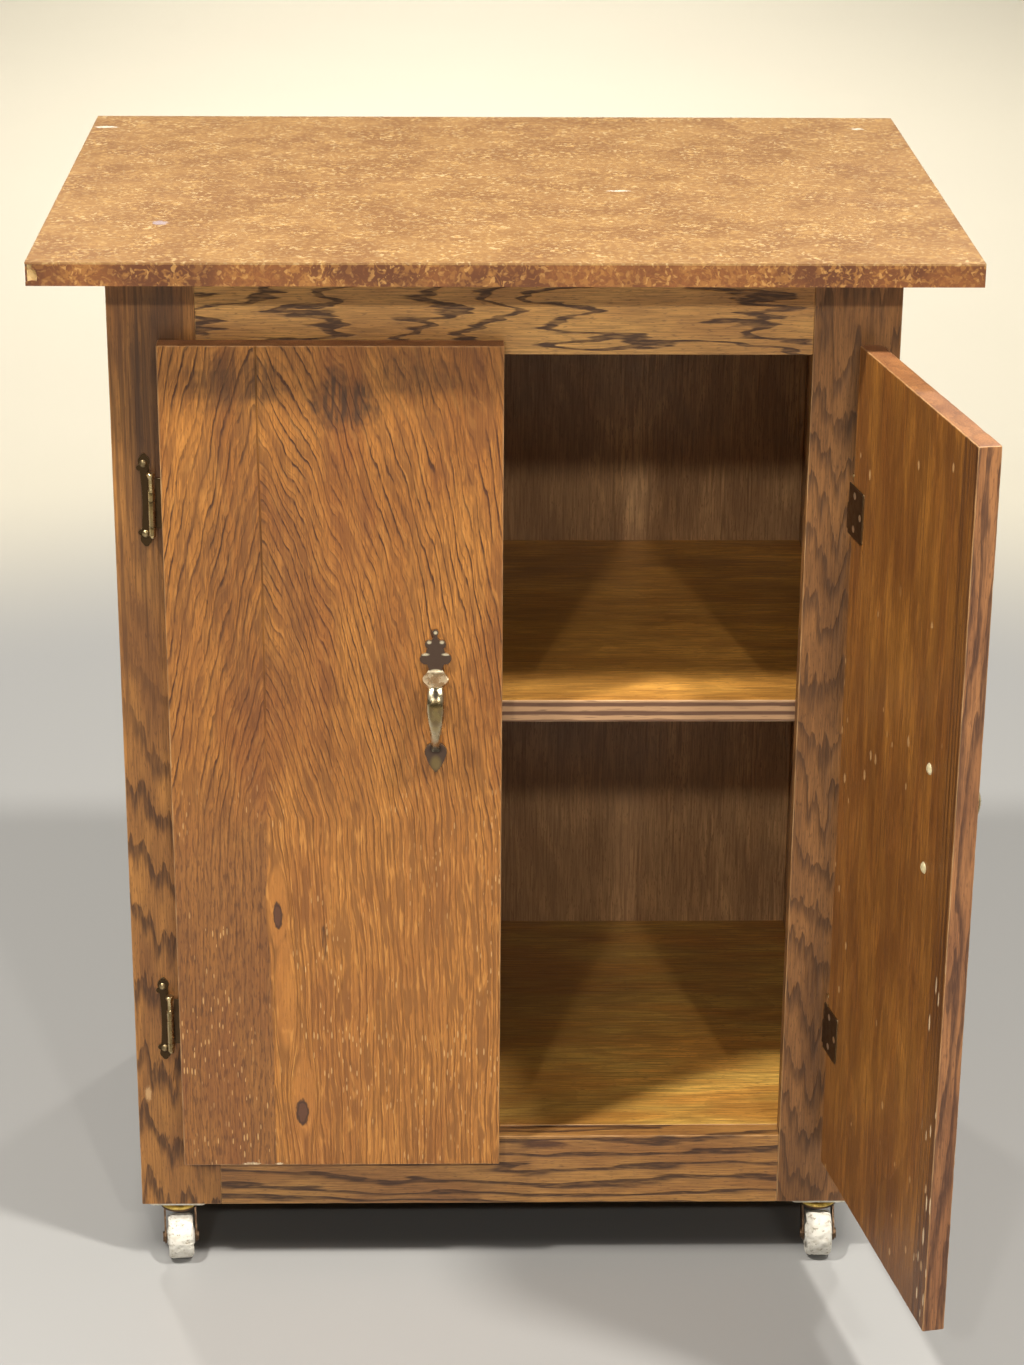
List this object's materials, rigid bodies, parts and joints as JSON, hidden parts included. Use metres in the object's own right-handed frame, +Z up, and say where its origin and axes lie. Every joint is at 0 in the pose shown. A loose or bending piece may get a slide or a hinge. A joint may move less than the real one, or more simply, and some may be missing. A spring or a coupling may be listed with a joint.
{
  "type": "two-door rolling storage cabinet",
  "caption": "Low oak storage cabinet on casters, with overlay doors on barrel hinges, cast thumb-latch pulls, an inner shelf and an overhanging burl-laminate top.",
  "frame": {"origin": "on the floor, midway between the cabinet's sides, in the plane of the face frame's front", "axes": "+Z up, +X towards the right seen from the front, +Y from the front to the back, so the doors open towards -Y"},
  "size_m": [0.716, 0.7656, 0.886],
  "materials": {
    "door_oak": "stained oak veneer, open dark pores, worn satin varnish",
    "frame_oak": "dark stained solid oak, satin varnish",
    "carcass_ply": "stained hardwood plywood, satin varnish",
    "softwood": "planed softwood, unfinished",
    "slab_core": "pale wood-particle board",
    "burl_laminate": "caramel burl-pattern laminate, low gloss",
    "burl_edging": "red-brown burl-pattern edging",
    "hinge_brass": "antique brass, darkened in the hollows",
    "pull_brass": "antique brass, darkened in the hollows, bright on the edges",
    "hinge_screws": "antiqued steel",
    "screw_steel": "bright zinc-plated steel",
    "caster_plating": "yellow-passivated pressed steel",
    "caster_wheel": "aged off-white hard plastic, scuffed"
  },
  "bodies": {
    "cabinet": {"back_left_caster_plate": "caster_plating", "back_panel": "carcass_ply", "back_right_caster_plate": "caster_plating", "bottom_rail": "frame_oak", "caster_blocks": "softwood", "caster_kingpins": "caster_plating", "caster_plate_screws": "screw_steel", "deck_cleats": "softwood", "deck_panel": "carcass_ply", "frame_dowels": "softwood", "frame_leaf_screws": "hinge_screws", "front_left_caster_plate": "caster_plating", "front_right_caster_plate": "caster_plating", "left_lower_frame_leaf": "hinge_brass", "left_lower_hinge_pin": "hinge_brass", "left_side_panel": "carcass_ply", "left_stile": "frame_oak", "left_upper_frame_leaf": "hinge_brass", "left_upper_hinge_pin": "hinge_brass", "right_lower_frame_leaf": "hinge_brass", "right_lower_hinge_pin": "hinge_brass", "right_side_panel": "carcass_ply", "right_stile": "frame_oak", "right_upper_frame_leaf": "hinge_brass", "right_upper_hinge_pin": "hinge_brass", "shelf": "carcass_ply", "shelf_cleats": "softwood", "slab_back_edge": "burl_edging", "slab_core": "slab_core", "slab_front_edge": "burl_edging", "slab_laminate": "burl_laminate", "slab_left_edge": "burl_edging", "slab_right_edge": "burl_edging", "slab_screws": "screw_steel", "top_cleats": "softwood", "top_rail": "frame_oak"},
    "left_door": {"left_door_leaf_screws": "hinge_screws", "left_door_panel": "door_oak", "left_door_pull": "pull_brass", "left_lower_door_leaf": "hinge_brass", "left_pull_screws": "screw_steel", "left_upper_door_leaf": "hinge_brass"},
    "right_door": {"right_door_leaf_screws": "hinge_screws", "right_door_panel": "door_oak", "right_door_pull": "pull_brass", "right_lower_door_leaf": "hinge_brass", "right_pull_screws": "screw_steel", "right_upper_door_leaf": "hinge_brass"},
    "front_left_swivel": {"front_left_fork": "caster_plating", "front_left_axle": "caster_plating"},
    "front_left_roller": {"front_left_wheel": "caster_wheel"},
    "front_right_swivel": {"front_right_fork": "caster_plating", "front_right_axle": "caster_plating"},
    "front_right_roller": {"front_right_wheel": "caster_wheel"},
    "back_left_swivel": {"back_left_fork": "caster_plating", "back_left_axle": "caster_plating"},
    "back_left_roller": {"back_left_wheel": "caster_wheel"},
    "back_right_swivel": {"back_right_fork": "caster_plating", "back_right_axle": "caster_plating"},
    "back_right_roller": {"back_right_wheel": "caster_wheel"}
  },
  "joints": [
    {"name": "left_door_hinge", "type": "hinge", "parent": "cabinet", "child": "left_door", "pos_m": [-0.27475, -0.0065, 0.4565], "axis": [0, 0, -1], "range_deg": [0, 125]},
    {"name": "right_door_hinge", "type": "hinge", "parent": "cabinet", "child": "right_door", "pos_m": [0.27475, -0.0065, 0.4565], "axis": [0, 0, 1], "range_deg": [-100.8, 24.2]},
    {"name": "front_left_swivel_pivot", "type": "hinge", "parent": "cabinet", "child": "front_left_swivel", "pos_m": [-0.275, 0.02, 0.045], "axis": [0, 0, 1], "continuous": true},
    {"name": "front_right_swivel_pivot", "type": "hinge", "parent": "cabinet", "child": "front_right_swivel", "pos_m": [0.275, 0.02, 0.045], "axis": [0, 0, 1], "continuous": true},
    {"name": "back_left_swivel_pivot", "type": "hinge", "parent": "cabinet", "child": "back_left_swivel", "pos_m": [-0.275, 0.416, 0.045], "axis": [0, 0, 1], "continuous": true},
    {"name": "back_right_swivel_pivot", "type": "hinge", "parent": "cabinet", "child": "back_right_swivel", "pos_m": [0.275, 0.416, 0.045], "axis": [0, 0, 1], "continuous": true},
    {"name": "front_left_wheel_spin", "type": "hinge", "parent": "front_left_swivel", "child": "front_left_roller", "pos_m": [-0.27312, 0.0021, 0.01905], "axis": [0.9945, 0.1045, 0], "continuous": true},
    {"name": "front_right_wheel_spin", "type": "hinge", "parent": "front_right_swivel", "child": "front_right_roller", "pos_m": [0.27469, 0.002, 0.01905], "axis": [0.9998, -0.0175, 0], "continuous": true},
    {"name": "back_left_wheel_spin", "type": "hinge", "parent": "back_left_swivel", "child": "back_left_roller", "pos_m": [-0.27218, 0.39822, 0.01905], "axis": [0.9877, 0.1564, 0], "continuous": true},
    {"name": "back_right_wheel_spin", "type": "hinge", "parent": "back_right_swivel", "child": "back_right_roller", "pos_m": [0.27281, 0.39813, 0.01905], "axis": [0.9925, -0.1219, 0], "continuous": true}
  ]
}
